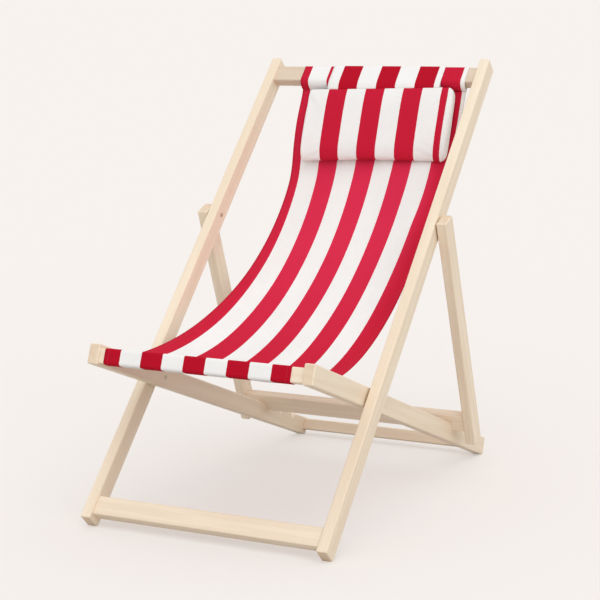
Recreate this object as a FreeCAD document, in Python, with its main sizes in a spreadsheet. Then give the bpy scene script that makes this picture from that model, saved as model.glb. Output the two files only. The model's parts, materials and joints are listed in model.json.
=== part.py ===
import FreeCAD, Part
import math
import os
import re
import Sketcher
from FreeCAD import Placement, Rotation, Vector

os.makedirs("parts", exist_ok=True)
doc = FreeCAD.newDocument("DeckChair")

# Driving sizes in millimetres and degrees
driving = [
    ("rail_thick", 22, "side rails, across the chair"),
    ("rail_depth", 40, "side rails, across their length"),
    ("edge_round", 3, "rounding of the edges of every bar"),
    ("foot_cut", 2, "depth of the flat on each foot"),
    ("long_rail_length", 1200, "long rail, end to end"),
    ("seat_pivot_up", 339, "lower end of the long rail to the seat pivot"),
    ("pivot_spacing", 418, "seat pivot to prop pivot"),
    ("long_frame_width", 525, "outside of the long rails"),
    ("seat_gap", 4, "long rail to seat rail"),
    ("prop_gap", 2.5, "long rail to prop leg"),
    ("cross_thick", 22, "cross rails, front to back"),
    ("top_rail_height", 42, "top rail, along the long rails"),
    ("top_rail_drop", 21, "top ends of the long rails to the top rail"),
    ("long_cross_setback", 5, "front of the long rails to their cross rails"),
    ("foot_rail_height", 40, "foot rail, along the long rails"),
    ("foot_rail_up", 12, "lower ends of the long rails to the foot rail"),
    ("seat_front_reach", 262, "seat pivot to the front end of the seat rail"),
    ("seat_rear_reach", 706, "seat pivot to the rear end of the seat rail"),
    ("front_rail_height", 29, "seat front rail"),
    ("front_rail_setback", 7, "front ends of the seat rails to the front rail"),
    ("front_rail_drop", 2, "middle of the front rail below the seat rails' middle"),
    ("rear_rail_height", 26, "seat rear rail"),
    ("rear_rail_thick", 18, "seat rear rail, front to back"),
    ("rear_rail_setback", 2, "rear ends of the seat rails to the rear rail"),
    ("rear_rail_lift", 4, "middle of the rear rail above the seat rails' middle"),
    ("notch_first", 483, "seat pivot to the foot of the first notch"),
    ("notch_depth", 16, "notch, from the top edge to its foot"),
    ("notch_pitch", 68, "notch to notch"),
    ("notch_count", 3, "notches in each seat rail"),
    ("notch_play", 0.3, "prop bar to the notch walls"),
    ("prop_head", 16, "prop pivot to the top of the prop leg"),
    ("prop_reach", 523, "prop pivot to the foot of the prop leg"),
    ("bar_height", 40, "prop bar, along the legs"),
    ("bar_lift", 29, "feet of the prop legs to the prop bar"),
    ("bar_setback", 4, "front of the prop legs to the prop bar"),
    ("tenon_margin", 5, "shoulder around each tenon"),
    ("glue_gap", 0.1, "tenon to mortise and insert to wood"),
    ("bolt_shank", 8, "pivot bolt shank diameter"),
    ("bolt_head", 9.6, "pivot bolt head diameter"),
    ("bolt_head_thick", 0.8, "pivot bolt head"),
    ("bolt_key", 5, "hexagon key, across corners"),
    ("bolt_key_depth", 1.6, "hexagon key recess"),
    ("washer_outer", 20, "washer diameter"),
    ("insert_outer", 12, "insert diameter"),
    ("running_play", 0.08, "bolt to its hole, on the radius"),
    ("face_play", 0.2, "sideways play at each pivot"),
    ("fabric_thick", 1.6, "canvas"),
    ("fabric_play", 0.3, "canvas to the wood or canvas under it"),
    ("sling_room", 36.5, "bare length of the seat front rail beside the sling"),
    ("sling_top_shift", 24.5, "sling off the middle at the top rail"),
    ("sling_front_shift", -8, "sling off the middle at the front rail"),
    ("sling_front_angle", -13, "rise of the sling at the front rail"),
    ("sling_seat_angle", 59.4, "rise of the sling where the seat turns into the back"),
    ("sling_back_angle", 72.8, "rise of the sling at the back"),
    ("sling_seat_share", 0.7993, "curved share of the sling's run from the front rail to the line of the back"),
    ("flap_width", 266, "pillow flap, across"),
    ("flap_shift", 33.5, "pillow flap off the middle"),
    ("flap_front_drop", 21.6, "flap below the top rail in front"),
    ("flap_front_angle", 21.7, "turn of the flap where it leaves the front of the top rail"),
    ("pillow_width", 340.5, "pillow, across"),
    ("pillow_shift", 23.3, "pillow off the middle"),
    ("pillow_height", 161.5, "pillow, along the sling"),
    ("pillow_thick", 28, "pillow, off the sling"),
    ("pillow_start", 11.6, "top rail's sleeve to the pillow along the sling"),
    ("pillow_off", 2, "canvas to pillow"),
]
sizes = doc.addObject("Spreadsheet::Sheet", "sizes")
for row, (alias, number, note) in enumerate(driving, start=1):
    sizes.set("A%d" % row, note)
    sizes.set("B%d" % row, str(number))
    sizes.setAlias("B%d" % row, alias)
doc.recompute()


# Turns a sum of size names into an expression that reads the sheet
def tied(text):
    return re.sub(r"[a-z_]+", lambda word: "sizes." + word.group(), str(text))


# The same sum as a number
def worth(text):
    probe = sizes.evalExpression(str(text))
    return float(probe)


axis_x = Vector(1, 0, 0)
thick = worth("rail_thick")
half_depth = worth("rail_depth / 2")
edge = worth("edge_round")
inner_half = worth("long_frame_width / 2 - rail_thick")

# Closing the loop: both pivots and the bar resting in the first notch fix the angles between the frames
notch_foot = Vector(0, worth("notch_first"), worth("rail_depth / 2 - notch_depth"))
bar_corner = Vector(0, worth("-rail_depth / 2 + bar_setback - notch_play"),
                    worth("bar_lift - prop_reach - notch_play"))
spacing = worth("pivot_spacing")
seat_arm = notch_foot.Length
prop_arm = bar_corner.Length
at_seat = math.acos((spacing ** 2 + seat_arm ** 2 - prop_arm ** 2) / (2 * spacing * seat_arm))
open_angle = at_seat + math.atan2(notch_foot.z, notch_foot.y)
seat_degrees = 90 - math.degrees(open_angle)
seat_turn = Rotation(axis_x, seat_degrees)
below_prop = seat_turn.multVec(notch_foot) - Vector(0, 0, spacing)
prop_degrees = math.degrees(math.atan2(below_prop.z, below_prop.y) - math.atan2(bar_corner.z, bar_corner.y))
prop_turn = Rotation(axis_x, prop_degrees)

# Standing it on the floor: the lean puts both rounded feet at one height
long_foot = Vector(0, half_depth - edge, edge - worth("seat_pivot_up"))
seat_foot = Vector(0, worth("seat_rear_reach") - edge, edge - half_depth)
between = seat_turn.multVec(seat_foot) - long_foot
lean = math.degrees(math.atan2(between.z, between.y))
long_rotation = Rotation(axis_x, -lean)
seat_rotation = long_rotation.multiply(seat_turn)
prop_rotation = long_rotation.multiply(prop_turn)
seat_along = seat_rotation.multVec(Vector(0, 1, 0))
seat_pivot = Vector(0, worth("seat_front_reach - seat_rear_reach") / 2 * seat_along.y,
                    edge - worth("foot_cut") - long_rotation.multVec(long_foot).z)
prop_pivot = seat_pivot + long_rotation.multVec(Vector(0, 0, spacing))
long_place = Placement(seat_pivot, long_rotation)
seat_place = Placement(seat_pivot, seat_rotation)
prop_place = Placement(prop_pivot, prop_rotation)


def shifted(place, x):
    return place.multiply(Placement(Vector(x, 0, 0), Rotation()))


def new_body(label, place):
    body = doc.addObject("PartDesign::Body", label)
    body.Label = label
    body.Placement = place
    return body


# A sketch seen from the chair's right side: across is the body's Y and up is its Z
def side_sketch(body, name):
    sketch = body.newObject("Sketcher::SketchObject", body.Label + "_" + name)
    plane = [item for item in body.Origin.OriginFeatures if item.Role == "YZ_Plane"][0]
    sketch.AttachmentSupport = [(plane, "")]
    sketch.MapMode = "FlatFace"
    return sketch


def hold(sketch, kind, line, end, text):
    index = sketch.addConstraint(Sketcher.Constraint(kind, -1, 1, line, end, worth(text)))
    sketch.setExpression("Constraints[%d]" % index, tied(text))


def closed_lines(sketch, corners):
    first = sketch.GeometryCount
    for start, stop in zip(corners, corners[1:] + corners[:1]):
        sketch.addGeometry(Part.LineSegment(Vector(*start, 0), Vector(*stop, 0)), False)
    count = len(corners)
    for step in range(count):
        following = first + (step + 1) % count
        sketch.addConstraint(Sketcher.Constraint("Coincident", first + step, 2, following, 1))
    return first


def rectangle(sketch, low_y, high_y, low_z, high_z):
    y0, y1, z0, z1 = [worth(text) for text in (low_y, high_y, low_z, high_z)]
    first = closed_lines(sketch, [(y0, z0), (y1, z0), (y1, z1), (y0, z1)])
    for line, kind in enumerate(("Horizontal", "Vertical", "Horizontal", "Vertical")):
        sketch.addConstraint(Sketcher.Constraint(kind, first + line))
    hold(sketch, "DistanceX", first, 1, low_y)
    hold(sketch, "DistanceY", first, 1, low_z)
    hold(sketch, "DistanceX", first + 2, 1, high_y)
    hold(sketch, "DistanceY", first + 2, 1, high_z)


# A polygon whose corners come from the closed loop's angles
def polygon(sketch, corners):
    first = closed_lines(sketch, corners)
    for step, (across, up) in enumerate(corners):
        sketch.addConstraint(Sketcher.Constraint("DistanceX", -1, 1, first + step, 1, across))
        sketch.addConstraint(Sketcher.Constraint("DistanceY", -1, 1, first + step, 1, up))


# A circle on the rail's middle line, at the body's origin or above it
def circle(sketch, diameter, up=None):
    height = worth(up) if up else 0.0
    radius = worth(diameter) / 2
    ring = sketch.addGeometry(Part.Circle(Vector(0, height, 0), Vector(0, 0, 1), radius), False)
    index = sketch.addConstraint(Sketcher.Constraint("Diameter", ring, 2 * radius))
    sketch.setExpression("Constraints[%d]" % index, tied(diameter))
    if up:
        sketch.addConstraint(Sketcher.Constraint("PointOnObject", ring, 3, -2))
        hold(sketch, "DistanceY", ring, 3, up)
    else:
        sketch.addConstraint(Sketcher.Constraint("Coincident", ring, 3, -1, 1))


def pad_across(body, sketch, length):
    pad = body.newObject("PartDesign::Pad", sketch.Label + "_pad")
    pad.Profile = sketch
    pad.SideType = "Symmetric"
    pad.setExpression("Length", tied(length))
    doc.recompute()
    return pad


def cut_through(body, sketch):
    pocket = body.newObject("PartDesign::Pocket", sketch.Label + "_cut")
    pocket.Profile = sketch
    pocket.SideType = "Symmetric"
    pocket.setExpression("Length", tied("2 * rail_thick"))
    doc.recompute()
    return pocket


# Blind cuts run from the middle of the bar out through its inner face
def cut_inner(body, sketch, side):
    pocket = body.newObject("PartDesign::Pocket", sketch.Label + "_cut")
    pocket.Profile = sketch
    pocket.Reversed = side < 0
    pocket.setExpression("Length", tied("rail_thick"))
    doc.recompute()
    return pocket


def round_edges(body, feature, lengthwise_only):
    names = []
    for index, line in enumerate(feature.Shape.Edges, start=1):
        along_x = abs(line.tangentAt(line.FirstParameter).x) > 0.9
        if along_x or not lengthwise_only:
            names.append("Edge%d" % index)
    fillet = body.newObject("PartDesign::Fillet", body.Label + "_rounding")
    fillet.Base = (feature, names)
    fillet.setExpression("Radius", tied("edge_round"))
    doc.recompute()
    return fillet


# A flat where the floor cuts off the rounded corner of a foot
def flat_foot(body, place, corner):
    low = place.multVec(corner)
    reach = 3 * half_depth
    square = [(low.y - half_depth, 0), (low.y + half_depth, 0),
              (low.y + half_depth, -reach), (low.y - half_depth, -reach)]
    back = place.inverse()
    points = [back.multVec(Vector(0, y, z)) for y, z in square]
    sketch = side_sketch(body, "foot")
    polygon(sketch, [(point.y, point.z) for point in points])
    cut_through(body, sketch)


# Cross rails: the four limits of each section, then the frame and the clear length between side rails
cross_front = "-rail_depth / 2 + long_cross_setback"
top_high = "long_rail_length - seat_pivot_up - top_rail_drop"
foot_low = "foot_rail_up - seat_pivot_up"
front_low = "-front_rail_drop - front_rail_height / 2"
rear_low = "rear_rail_lift - rear_rail_height / 2"
bar_front = "-rail_depth / 2 + bar_setback"
bar_low = "bar_lift - prop_reach"
long_clear = "long_frame_width - 2 * rail_thick"
seat_clear = "long_frame_width - 4 * rail_thick - 2 * seat_gap"
prop_clear = "long_frame_width + 2 * prop_gap"
sections = {
    "top_rail": (cross_front, cross_front + " + cross_thick", top_high + " - top_rail_height", top_high),
    "foot_rail": (cross_front, cross_front + " + cross_thick", foot_low, foot_low + " + foot_rail_height"),
    "seat_front_rail": ("front_rail_setback - seat_front_reach",
                        "front_rail_setback - seat_front_reach + cross_thick",
                        front_low, front_low + " + front_rail_height"),
    "seat_rear_rail": ("seat_rear_reach - rear_rail_setback - rear_rail_thick",
                       "seat_rear_reach - rear_rail_setback",
                       rear_low, rear_low + " + rear_rail_height"),
    "prop_bar": (bar_front, bar_front + " + cross_thick", bar_low, bar_low + " + bar_height"),
}
clear_lengths = {
    "top_rail": (long_place, long_clear),
    "foot_rail": (long_place, long_clear),
    "seat_front_rail": (seat_place, seat_clear),
    "seat_rear_rail": (seat_place, seat_clear),
    "prop_bar": (prop_place, prop_clear),
}


# Each section's limits moved inwards, for a tenon or for the mortise around it
def inset(name, amount):
    low_y, high_y, low_z, high_z = sections[name]
    return (low_y + " + " + amount, high_y + " - " + amount,
            low_z + " + " + amount, high_z + " - " + amount)


finished = []
for name, (place, clear) in clear_lengths.items():
    body = new_body(name, place)
    sketch = side_sketch(body, "section")
    rectangle(sketch, *sections[name])
    block = pad_across(body, sketch, clear)
    round_edges(body, block, True)
    sketch = side_sketch(body, "tenon")
    rectangle(sketch, *inset(name, "tenon_margin"))
    pad_across(body, sketch, clear + " + rail_thick - 2 * glue_gap")
    finished.append(body)


def mortise(body, name, side):
    sketch = side_sketch(body, name + "_mortise")
    rectangle(sketch, *inset(name, "(tenon_margin - glue_gap)"))
    cut_inner(body, sketch, side)


def side_rail(label, place, low_y, high_y, low_z, high_z):
    body = new_body(label, place)
    sketch = side_sketch(body, "outline")
    rectangle(sketch, low_y, high_y, low_z, high_z)
    block = pad_across(body, sketch, "rail_thick")
    round_edges(body, block, False)
    return body


running_hole = "bolt_shank + 2 * running_play"
insert_hole = "insert_outer + 2 * glue_gap"
tilt = math.radians(prop_degrees - seat_degrees)
notch_mouth = worth("notch_depth") + edge
for side_name, side in (("left", -1), ("right", 1)):
    # Long rail: seat insert, prop bolt hole, two mortises and the foot
    x_long = side * (inner_half + thick / 2)
    body = side_rail("long_rail_" + side_name, shifted(long_place, x_long),
                     "-rail_depth / 2", "rail_depth / 2",
                     "-seat_pivot_up", "long_rail_length - seat_pivot_up")
    sketch = side_sketch(body, "insert_hole")
    circle(sketch, insert_hole)
    cut_inner(body, sketch, side)
    sketch = side_sketch(body, "bolt_hole")
    circle(sketch, running_hole, "pivot_spacing")
    cut_through(body, sketch)
    mortise(body, "top_rail", side)
    mortise(body, "foot_rail", side)
    flat_foot(body, long_place, Vector(0, half_depth, -worth("seat_pivot_up")))
    finished.append(body)

    # Seat rail: bolt hole, two mortises, the foot and the row of notches
    x_seat = side * (inner_half - worth("seat_gap") - thick / 2)
    body = side_rail("seat_rail_" + side_name, shifted(seat_place, x_seat),
                     "-seat_front_reach", "seat_rear_reach", "-rail_depth / 2", "rail_depth / 2")
    sketch = side_sketch(body, "bolt_hole")
    circle(sketch, running_hole)
    cut_through(body, sketch)
    mortise(body, "seat_front_rail", side)
    mortise(body, "seat_rear_rail", side)
    flat_foot(body, seat_place, Vector(0, worth("seat_rear_reach"), -half_depth))
    sketch = side_sketch(body, "notch")
    polygon(sketch, [(notch_foot.y, notch_foot.z),
                     (notch_foot.y + notch_mouth / math.tan(tilt), notch_foot.z + notch_mouth),
                     (notch_foot.y - notch_mouth * math.tan(tilt), notch_foot.z + notch_mouth)])
    notch = cut_through(body, sketch)
    row = body.newObject("PartDesign::LinearPattern", body.Label + "_notches")
    row.Originals = [notch]
    row.Direction = (sketch, ["H_Axis"])
    row.Mode = "Spacing"
    row.setExpression("Offset", tied("notch_pitch"))
    row.setExpression("Occurrences", tied("notch_count"))
    body.Tip = row
    finished.append(body)

    # Prop leg: prop insert and one mortise
    x_prop = side * (inner_half + thick + worth("prop_gap") + thick / 2)
    body = side_rail("prop_leg_" + side_name, shifted(prop_place, x_prop),
                     "-rail_depth / 2", "rail_depth / 2", "-prop_reach", "prop_head")
    sketch = side_sketch(body, "insert_hole")
    circle(sketch, insert_hole)
    cut_inner(body, sketch, side)
    mortise(body, "prop_bar", side)
    finished.append(body)


# Turned metal pieces stand on their own Z axis, which points away from the chair's middle
def cylinder(name, diameter, length, start):
    item = doc.addObject("Part::Cylinder", name)
    item.setExpression("Radius", tied("(%s) / 2" % diameter))
    item.setExpression("Height", tied(length))
    item.setExpression("Placement.Base.z", tied(start))
    return item


def joined(kind, label, base, tool):
    item = doc.addObject(kind, label)
    item.Label = label
    item.Base = base
    item.Tool = tool
    return item


def outwards(place, x, side):
    turn = Rotation(Vector(0, 1, 0), 90 * side)
    return place.multiply(Placement(Vector(x, 0, 0), turn))


def pivot_set(kind, side_name, place, x_face, side, gap):
    label = kind + "_pivot_%s_" + side_name
    shank_length = "1.5 * rail_thick + " + gap + " - 2 * face_play"
    head = cylinder(label % "head", "bolt_head", "bolt_head_thick", "-bolt_head_thick - face_play")
    shank = cylinder(label % "shank", "bolt_shank", shank_length + " + 2 * face_play", "-2 * face_play")
    solid = joined("Part::Fuse", label % "blank", head, shank)
    key = doc.addObject("Part::Prism", label % "key")
    key.Polygon = 6
    key.setExpression("Circumradius", tied("bolt_key / 2"))
    key.setExpression("Height", tied("bolt_key_depth"))
    key.setExpression("Placement.Base.z", tied("-bolt_head_thick - face_play"))
    bolt = joined("Part::Cut", label % "bolt", solid, key)
    bolt.Placement = outwards(place, x_face, side)

    disc = cylinder(label % "disc", "washer_outer", gap + " - face_play", "0")
    disc_hole = cylinder(label % "disc_hole", "bolt_shank + 2 * glue_gap", "2 * rail_thick", "-rail_thick")
    washer = joined("Part::Cut", label % "washer", disc, disc_hole)
    washer.Placement = outwards(place, x_face + side * (thick + worth("face_play")), side)

    tube = cylinder(label % "tube", "insert_outer", "rail_thick / 2 - glue_gap", "0")
    tube_hole = cylinder(label % "tube_hole", "bolt_shank + 2 * glue_gap", "2 * rail_thick", "-rail_thick")
    insert = joined("Part::Cut", label % "insert", tube, tube_hole)
    insert.Placement = outwards(place, x_face + side * (thick + worth(gap)), side)
    finished.extend([bolt, washer, insert])


for side_name, side in (("left", -1), ("right", 1)):
    seat_face = side * (inner_half - worth("seat_gap") - thick)
    pivot_set("seat", side_name, seat_place, seat_face, side, "seat_gap")
    pivot_set("prop", side_name, prop_place, side * inner_half, side, "prop_gap")

# Canvas: closed sleeves around the top rail and the seat's front rail
cloth = worth("fabric_thick")
play = worth("fabric_play")
top_limits = [worth(text) for text in sections["top_rail"]]
front_limits = [worth(text) for text in sections["seat_front_rail"]]


# A bar of rounded section, grown by an offset and centred sideways on x
def rounded_bar(limits, offset, width, x):
    y0, y1, z0, z1 = limits
    size = Vector(width, y1 - y0 + 2 * offset, z1 - z0 + 2 * offset)
    box = Part.makeBox(size.x, size.y, size.z, Vector(x - width / 2, y0 - offset, z0 - offset))
    long_edges = [line for line in box.Edges if abs(line.tangentAt(line.FirstParameter).x) > 0.9]
    return box.makeFillet(edge + offset, long_edges)


def sleeve(limits, inner, width, x):
    return rounded_bar(limits, inner + cloth, width, x).cut(rounded_bar(limits, inner, 2 * width, x))


sling_width = worth(seat_clear + " - sling_room")
top_x = worth("sling_top_shift")
front_x = worth("sling_front_shift")
top_sleeve = sleeve(top_limits, play, sling_width, top_x)
top_sleeve.Placement = long_place
front_sleeve = sleeve(front_limits, play, sling_width, front_x)
front_sleeve.Placement = seat_place

# Sling: two arcs and a straight back between the two sleeves, each tangent to the next
hang = long_place.multVec(Vector(0, top_limits[1] - edge, top_limits[2] - play - cloth / 2))
start = seat_place.multVec(Vector(0, front_limits[1] + play + cloth / 2, front_limits[2] + edge))


def heading(angle):
    return Vector(0, math.cos(math.radians(angle)), math.sin(math.radians(angle)))


def left_of(direction):
    return Vector(0, -direction.z, direction.y)


angles = [worth("sling_front_angle"), worth("sling_seat_angle"), worth("sling_back_angle")]
front_way, seat_way, back_way = [heading(angle) for angle in angles]
span = hang - start
front_run = (span.y * back_way.z - span.z * back_way.y) / (front_way.y * back_way.z - front_way.z * back_way.y)
tangent = front_run * worth("sling_seat_share")
seat_radius = tangent / math.tan(math.radians(angles[1] - angles[0]) / 2)
rest = span - front_way * tangent
spread = seat_way.y * back_way.z - seat_way.z * back_way.y
seat_run = (rest.y * back_way.z - rest.z * back_way.y) / spread
back_run = (seat_way.y * rest.z - seat_way.z * rest.y) / spread
back_tangent = seat_run - tangent
back_radius = back_tangent / math.tan(math.radians(angles[2] - angles[1]) / 2)
seat_end = start + front_way * tangent + seat_way * tangent
back_start = hang - back_way * (back_run - back_tangent)


# One face of the canvas as edges from front to top, set off to the left of the middle line
def canvas_face(off):
    edges = []
    for centre, radius, low, high in (
            (seat_end + left_of(seat_way) * seat_radius, seat_radius, angles[0], angles[1]),
            (back_start + left_of(back_way) * back_radius, back_radius, angles[1], angles[2])):
        points = [centre - left_of(heading(angle)) * (radius - off)
                  for angle in (low, (low + high) / 2, high)]
        edges.append(Part.Arc(*points).toShape())
    edges.append(Part.makeLine(back_start + left_of(back_way) * off, hang + left_of(back_way) * off))
    return edges


upper = canvas_face(cloth / 2)
lower = canvas_face(-cloth / 2)
ends = [Part.makeLine(upper[0].Vertexes[0].Point, lower[0].Vertexes[0].Point),
        Part.makeLine(upper[-1].Vertexes[-1].Point, lower[-1].Vertexes[-1].Point)]
outline = Part.Wire(Part.__sortEdges__(upper + lower + ends))
strip = Part.Face(outline).extrude(Vector(2 * sling_width, 0, 0))
strip.translate(Vector(-sling_width, 0, 0))
half_width = sling_width / 2
plan = [(front_x - half_width, start.y - half_width), (front_x + half_width, start.y - half_width),
        (front_x + half_width, start.y), (top_x + half_width, hang.y),
        (top_x + half_width, hang.y + half_width), (top_x - half_width, hang.y + half_width),
        (top_x - half_width, hang.y), (front_x - half_width, start.y)]
corners = [Vector(x, y, 0) for x, y in plan]
column = Part.Face(Part.makePolygon(corners + corners[:1])).extrude(Vector(0, 0, worth("long_rail_length")))
sling = doc.addObject("Part::Feature", "sling")
sling.Label = "sling"
sling.Shape = strip.common(column).multiFuse([top_sleeve, front_sleeve]).removeSplitter()
finished.append(sling)

# Pillow flap: a band over the sleeve, open below, whose front hangs on down to the pillow
flap_width = worth("flap_width")
flap_x = worth("flap_shift")
front_drop = worth("flap_front_drop")
flap_inner = cloth + 2 * play
hanging = [top_limits[0], top_limits[1], top_limits[2] - 2 * half_depth, top_limits[3]]
band = sleeve(hanging, flap_inner, flap_width, flap_x)
low_box = Part.makeBox(2 * flap_width, half_depth * 4, half_depth * 4,
                       Vector(flap_x - flap_width, -2 * half_depth, top_limits[2] - 4 * half_depth))
band_front = Vector(0, top_limits[0] - flap_inner - cloth, top_limits[2])
apron = Part.makeBox(flap_width, cloth, front_drop, Vector(flap_x - flap_width / 2, band_front.y, band_front.z - front_drop))
flap_turn = Rotation(axis_x, worth("flap_front_angle"))
apron.rotate(band_front, axis_x, worth("flap_front_angle"))
flap = doc.addObject("Part::Feature", "pillow_flap")
flap.Label = "pillow_flap"
flap.Shape = band.cut(low_box).fuse(apron).removeSplitter()
flap.Placement = long_place
finished.append(flap)

# Pillow: a boxed cushion, a little fuller towards its rounded bottom, its end panels bulging a little
section = [(0.000, 0.62), (0.020, 0.72), (0.08, 0.775), (0.20, 0.85), (0.41, 0.953), (0.65, 1.00), (0.84, 0.925),
           (0.94, 0.76), (0.99, 0.52), (0.995, 0.30), (0.965, 0.10), (0.89, 0.02), (0.65, 0.005), (0.40, 0.005),
           (0.15, 0.01), (0.05, 0.04), (0.012, 0.16), (0.000, 0.38)]
stations = [(-1.000, 0.62, 0.86), (-0.988, 0.84, 0.95), (-0.963, 0.945, 0.985), (-0.92, 0.985, 0.997),
            (-0.80, 1.00, 1.00), (-0.50, 1.00, 1.00), (-0.20, 1.00, 1.00), (0.20, 1.00, 1.00), (0.50, 1.00, 1.00),
            (0.80, 1.00, 1.00), (0.92, 0.985, 0.997), (0.963, 0.945, 0.985), (0.988, 0.84, 0.95), (1.000, 0.62, 0.86)]
seam_down_share = 0.50
seam_off_share = 0.45
pillow_height = worth("pillow_height")
pillow_thick = worth("pillow_thick")
pillow_base = hang - back_way * worth("pillow_start") + left_of(back_way) * (cloth / 2 + worth("pillow_off"))
rings = []
for across, fullness, drawn in stations:
    points = []
    for down, off in section:
        down_at = (seam_down_share + (down - seam_down_share) * drawn) * pillow_height
        off_at = (seam_off_share + (off - seam_off_share) * fullness) * pillow_thick
        point = pillow_base - back_way * down_at + left_of(back_way) * off_at
        point.x = worth("pillow_shift") + across * worth("pillow_width") / 2
        points.append(point)
    curve = Part.BSplineCurve()
    curve.interpolate(points, PeriodicFlag=True)
    rings.append(Part.Wire(curve.toShape()))
pillow = doc.addObject("Part::Feature", "pillow")
pillow.Label = "pillow"
pillow.Shape = Part.makeLoft(rings, True, False)
finished.append(pillow)

doc.recompute()
for item in doc.Objects:
    if "Invalid" in item.State or "Error" in item.State:
        raise RuntimeError("not built: " + item.Label)
for item in finished:
    shape = item.Shape
    if shape.isNull() or not shape.isValid() or len(shape.Solids) != 1:
        raise RuntimeError("bad shape: %s with %d solids" % (item.Label, len(shape.Solids)))
    shape.exportStep("parts/%s.step" % item.Label)
    box = shape.BoundBox
    print("%-26s X %7.1f %7.1f  Y %7.1f %7.1f  Z %7.1f %7.1f" % (
        item.Label, box.XMin, box.XMax, box.YMin, box.YMax, box.ZMin, box.ZMax))

print("seat pivot", seat_pivot, "prop pivot", prop_pivot)
print("lean %.3f seat %.3f prop %.3f" % (lean, lean - seat_degrees, prop_degrees - lean))
print("sling top", hang, "sling front", start)
print("back radius %.1f straight %.1f" % (back_radius, back_run - back_tangent))
flap_end = long_place.multVec(band_front + flap_turn.multVec(Vector(0, cloth / 2, -front_drop)))
print("flap end", flap_end)
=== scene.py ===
import json
import math

import bmesh
import bpy
import numpy as np
from mathutils import Matrix


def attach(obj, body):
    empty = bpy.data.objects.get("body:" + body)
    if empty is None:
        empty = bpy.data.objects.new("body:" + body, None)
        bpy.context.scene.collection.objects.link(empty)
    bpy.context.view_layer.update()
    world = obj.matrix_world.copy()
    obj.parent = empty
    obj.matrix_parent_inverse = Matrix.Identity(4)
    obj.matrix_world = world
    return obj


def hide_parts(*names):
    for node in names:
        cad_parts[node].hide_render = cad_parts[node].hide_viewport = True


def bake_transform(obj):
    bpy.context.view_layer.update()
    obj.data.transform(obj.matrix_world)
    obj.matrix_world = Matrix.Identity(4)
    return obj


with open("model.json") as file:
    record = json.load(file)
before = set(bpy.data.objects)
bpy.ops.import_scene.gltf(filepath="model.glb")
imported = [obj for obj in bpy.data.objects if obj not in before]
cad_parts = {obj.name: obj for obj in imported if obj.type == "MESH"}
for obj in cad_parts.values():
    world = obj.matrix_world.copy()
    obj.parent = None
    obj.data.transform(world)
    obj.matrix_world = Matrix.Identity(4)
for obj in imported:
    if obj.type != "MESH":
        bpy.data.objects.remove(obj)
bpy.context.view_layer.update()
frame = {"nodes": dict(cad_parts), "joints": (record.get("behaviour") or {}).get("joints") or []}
nodes = frame["nodes"]
joints = {joint["name"]: joint for joint in frame["joints"]}
print("frame loaded:", len(nodes), "nodes")

# the chair's own lines, in metres and degrees, as the solids have them
chair = {
    "lean": 43.360, "seatSlope": 19.960, "propSlope": 21.791,
    "topRail": (-0.015, 0.007, 0.798, 0.840),        # y low, y high, z low, z high on the long frame
    "frontRail": (-0.255, -0.233, -0.0165, 0.0125),  # the same on the seat frame
    "barRound": 0.003, "cloth": 0.0010, "play": 0.0003,
    "backAngle": 72.8, "backTop": (0.34138, 0.83360),  # the straight back behind the pillow, and where it starts
}
pivotY, pivotZ = joints["seat_fold"]["pos_m"][1:]


# a point (y, z) of a frame that leans back by an angle, turned about the seat pivot
def leaning(points, degrees):
    a = math.radians(degrees)
    y, z = points[..., 0], points[..., 1]
    return np.stack([pivotY + y * math.cos(a) + z * math.sin(a), pivotZ - y * math.sin(a) + z * math.cos(a)], -1)


# camera at the photograph's place, found from the bars' corners
camera = {"place": (1.44365, -2.99647, 0.912655), "azimuth": 25.92, "elevation": 8.735, "roll": 0.124,
          "focalPixels": 1622.66, "imagePixels": 600, "sensor": 36.0, "reach": 200.0}


def makeCamera(c):
    az, el, roll = (math.radians(c[k]) for k in ("azimuth", "elevation", "roll"))
    forward = np.array([-math.sin(az) * math.cos(el), math.cos(az) * math.cos(el), -math.sin(el)])
    flat = np.array([math.cos(az), math.sin(az), 0.0])
    upright = np.cross(flat, forward)
    right = flat * math.cos(roll) + upright * math.sin(roll)
    up = upright * math.cos(roll) - flat * math.sin(roll)
    data = bpy.data.cameras.new("photoCamera")
    data.sensor_width = c["sensor"]
    data.lens = c["focalPixels"] * c["sensor"] / c["imagePixels"]
    data.clip_end = c["reach"]
    obj = bpy.data.objects.new("photoCamera", data)
    place = np.eye(4)
    place[:3, 0], place[:3, 1], place[:3, 2], place[:3, 3] = right, up, -forward, c["place"]
    obj.matrix_world = Matrix(place.tolist())
    bpy.context.scene.collection.objects.link(obj)
    bpy.context.scene.camera = obj


makeCamera(camera)
print("camera set")


# node helpers: put() adds a node and fills or links its inputs, calc() is one Math node
def put(tree, kind, values=None, **settings):
    made = tree.nodes.new(kind)
    for key, value in settings.items():
        setattr(made, key, value)
    for key, value in (values or {}).items():
        if isinstance(value, bpy.types.NodeSocket):
            tree.links.new(value, made.inputs[key])
        else:
            made.inputs[key].default_value = value
    return made


def calc(tree, operation, a, b=0.0, c=0.0):
    return put(tree, "ShaderNodeMath", {0: a, 1: b, 2: c}, operation=operation).outputs[0]


def remap(tree, value, low, high, toLow=0.0, toHigh=1.0, smooth=False):
    values = {"Value": value, "From Min": low, "From Max": high, "To Min": toLow, "To Max": toHigh}
    kind = "SMOOTHSTEP" if smooth else "LINEAR"
    return put(tree, "ShaderNodeMapRange", values, interpolation_type=kind).outputs[0]


def mixed(tree, factor, a, b, blend="MIX"):
    return put(tree, "ShaderNodeMix", {0: factor, 6: a, 7: b}, data_type="RGBA", blend_type=blend).outputs[2]


def shaded(tree, color, shade):
    grey = put(tree, "ShaderNodeCombineColor", {0: shade, 1: shade, 2: shade}).outputs[0]
    return mixed(tree, 1.0, color, grey, "MULTIPLY")


noiseSpan = (0.3, 0.7)  # where most values of a noise lie


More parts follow.
